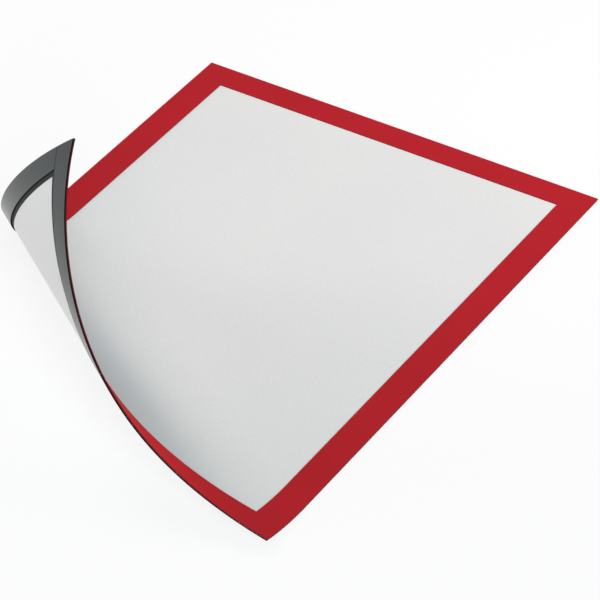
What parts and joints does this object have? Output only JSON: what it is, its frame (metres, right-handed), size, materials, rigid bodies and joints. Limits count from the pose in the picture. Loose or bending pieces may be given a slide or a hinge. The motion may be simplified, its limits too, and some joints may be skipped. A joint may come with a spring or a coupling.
{
  "type": "magnetic sign frame",
  "caption": "Flexible magnetic sign frame for one upright A4 sheet, lying face up with its lower left corner peeled back in a curl that can be flattened.",
  "frame": {"origin": "middle of the flat sheet's outline, on the back faces of the magnetic strips, which is the plane of the board", "axes": "+X to the right across the short side, +Y up the long side, +Z out of the front face"},
  "size_m": [0.2365, 0.3224, 0.1124],
  "materials": {
    "film": "satin",
    "foil": "matte",
    "magnet": "matte"
  },
  "bodies": {
    "sheet": {"window_film": "film", "border_foil": "foil", "strip_top": "magnet", "strip_right": "magnet", "strip_left": "magnet"},
    "peel_1": {"window_film_1": "film", "border_foil_foot_1": "foil", "border_foil_left_1": "foil", "strip_right_1": "magnet", "strip_left_1": "magnet", "strip_bottom_1": "magnet"},
    "peel_2": {"window_film_2": "film", "border_foil_foot_2": "foil", "border_foil_left_2": "foil", "strip_left_2": "magnet", "strip_bottom_2": "magnet"},
    "peel_3": {"window_film_3": "film", "border_foil_foot_3": "foil", "border_foil_left_3": "foil", "strip_left_3": "magnet", "strip_bottom_3": "magnet"},
    "peel_4": {"window_film_4": "film", "border_foil_foot_4": "foil", "border_foil_left_4": "foil", "strip_left_4": "magnet", "strip_bottom_4": "magnet"},
    "peel_5": {"window_film_5": "film", "border_foil_foot_5": "foil", "border_foil_left_5": "foil", "strip_left_5": "magnet", "strip_bottom_5": "magnet"},
    "peel_6": {"window_film_6": "film", "border_foil_foot_6": "foil", "border_foil_left_6": "foil", "strip_left_6": "magnet", "strip_bottom_6": "magnet"},
    "peel_7": {"window_film_7": "film", "border_foil_foot_7": "foil", "border_foil_left_7": "foil", "strip_left_7": "magnet", "strip_bottom_7": "magnet"},
    "peel_8": {"window_film_8": "film", "border_foil_foot_8": "foil", "border_foil_left_8": "foil", "strip_left_8": "magnet", "strip_bottom_8": "magnet"}
  },
  "joints": [
    {"name": "peel_hinge_1", "type": "hinge", "parent": "sheet", "child": "peel_1", "pos_m": [-0.02096, -0.04702, 0], "axis": [-0.8464, 0.5325, 0], "range_deg": [-8.25, 0]},
    {"name": "peel_hinge_2", "type": "hinge", "parent": "peel_1", "child": "peel_2", "pos_m": [-0.02879, -0.0591, 0.00209], "axis": [-0.8317, 0.5552, -0.0039], "range_deg": [-16.5, 0]},
    {"name": "peel_hinge_3", "type": "hinge", "parent": "peel_2", "child": "peel_3", "pos_m": [-0.03832, -0.07275, 0.00976], "axis": [-0.8138, 0.5809, -0.0183], "range_deg": [-16.5, 0]},
    {"name": "peel_hinge_4", "type": "hinge", "parent": "peel_3", "child": "peel_4", "pos_m": [-0.04584, -0.08252, 0.02055], "axis": [-0.7996, 0.5993, -0.0386], "range_deg": [-16.5, 0]},
    {"name": "peel_hinge_5", "type": "hinge", "parent": "peel_4", "child": "peel_5", "pos_m": [-0.05134, -0.08864, 0.03348], "axis": [-0.7893, 0.6108, -0.063], "range_deg": [-16.5, 0]},
    {"name": "peel_hinge_6", "type": "hinge", "parent": "peel_5", "child": "peel_6", "pos_m": [-0.05507, -0.09143, 0.04924], "axis": [-0.7823, 0.616, -0.0926], "range_deg": [-16.5, 0]},
    {"name": "peel_hinge_7", "type": "hinge", "parent": "peel_6", "child": "peel_7", "pos_m": [-0.05666, -0.08991, 0.0688], "axis": [-0.7793, 0.6132, -0.1294], "range_deg": [-16.5, 0]},
    {"name": "peel_hinge_8", "type": "hinge", "parent": "peel_7", "child": "peel_8", "pos_m": [-0.05506, -0.08226, 0.09131], "axis": [-0.7823, 0.5988, -0.1717], "range_deg": [-16.5, 0]}
  ],
  "couplings": [
    {"joint": "peel_hinge_2", "follows": "peel_hinge_1", "ratio": 2},
    {"joint": "peel_hinge_3", "follows": "peel_hinge_1", "ratio": 2},
    {"joint": "peel_hinge_4", "follows": "peel_hinge_1", "ratio": 2},
    {"joint": "peel_hinge_5", "follows": "peel_hinge_1", "ratio": 2},
    {"joint": "peel_hinge_6", "follows": "peel_hinge_1", "ratio": 2},
    {"joint": "peel_hinge_7", "follows": "peel_hinge_1", "ratio": 2},
    {"joint": "peel_hinge_8", "follows": "peel_hinge_1", "ratio": 2}
  ]
}
